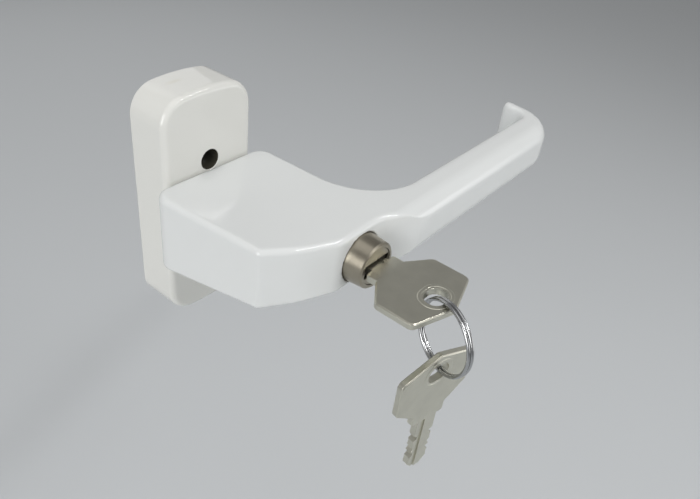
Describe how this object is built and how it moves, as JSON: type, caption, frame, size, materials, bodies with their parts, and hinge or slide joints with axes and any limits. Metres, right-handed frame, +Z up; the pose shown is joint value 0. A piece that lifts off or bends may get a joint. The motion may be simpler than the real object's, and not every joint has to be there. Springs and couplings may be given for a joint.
{
  "type": "locking window handle",
  "caption": "Window handle with a curled lever, a key cylinder in its thick neck and an arched oblong base plate, with square spindle, fixing screws, key, spare key and split ring.",
  "frame": {"origin": "centre of the square spindle in the plane of the base plate's back face", "axes": "+Y along the spindle into the window, -Y towards the room, +Z up the long side of the base plate, +X along the open lever"},
  "size_m": [0.1414, 0.1148, 0.0935],
  "materials": {
    "plate_paint": "gloss powder coat, warm white",
    "lever_paint": "gloss powder coat, cool white",
    "satin_nickel": "turned and nickel plated",
    "key_nickel": "stamped and nickel plated",
    "ring_steel": "bright nickel-plated spring wire",
    "brass": "machined",
    "zinc_steel": "zinc plated",
    "dark_steel": "blackened",
    "nylon": "natural nylon"
  },
  "bodies": {
    "base": {"base_cover": "plate_paint", "backing_plate": "zinc_steel", "index_collar": "zinc_steel", "fixing_screws": "zinc_steel", "hub_bush": "nylon"},
    "handle": {"lever": "lever_paint", "spindle": "zinc_steel", "spindle_grub_screw": "dark_steel", "retaining_ring": "dark_steel", "disc_spring": "dark_steel", "guide_plate": "zinc_steel", "guide_screws": "zinc_steel", "lock_barrel": "satin_nickel", "barrel_grub_screw": "dark_steel"},
    "plug": {"lock_plug": "brass", "plug_clip": "dark_steel", "wafers": "brass", "wafer_springs": "dark_steel", "lock_crank": "zinc_steel"},
    "slide": {"locking_slide": "zinc_steel"},
    "key": {"key_in_lock": "key_nickel"},
    "ring": {"key_ring": "ring_steel"},
    "spare": {"spare_key": "key_nickel"}
  },
  "joints": [
    {"name": "handle_turn", "type": "hinge", "parent": "base", "child": "handle", "pos_m": [0, 0, 0], "axis": [0, 1, 0], "range_deg": [0, 90]},
    {"name": "plug_turn", "type": "hinge", "parent": "handle", "child": "plug", "pos_m": [0.01235, 0, -0.0008], "axis": [0, 1, 0], "range_deg": [0, 90]},
    {"name": "slide_throw", "type": "slide", "parent": "handle", "child": "slide", "axis": [-1, 0, 0], "range_m": [0, 0.00241]},
    {"name": "key_withdraw", "type": "slide", "parent": "plug", "child": "key", "axis": [0, -1, 0], "range_m": [0, 0.026]},
    {"name": "ring_turn", "type": "hinge", "parent": "key", "child": "ring", "pos_m": [0.01055, -0.0876, -0.00862], "axis": [0.9272, -0.3746, 0], "range_deg": [-40, 40]},
    {"name": "spare_swing", "type": "hinge", "parent": "ring", "child": "spare", "pos_m": [0.01055, -0.0876, -0.01872], "axis": [0.3746, 0.9272, 0], "range_deg": [-25, 25]}
  ],
  "couplings": [
    {"joint": "slide_throw", "follows": "plug_turn", "m_per_rad": 0.0015305}
  ]
}
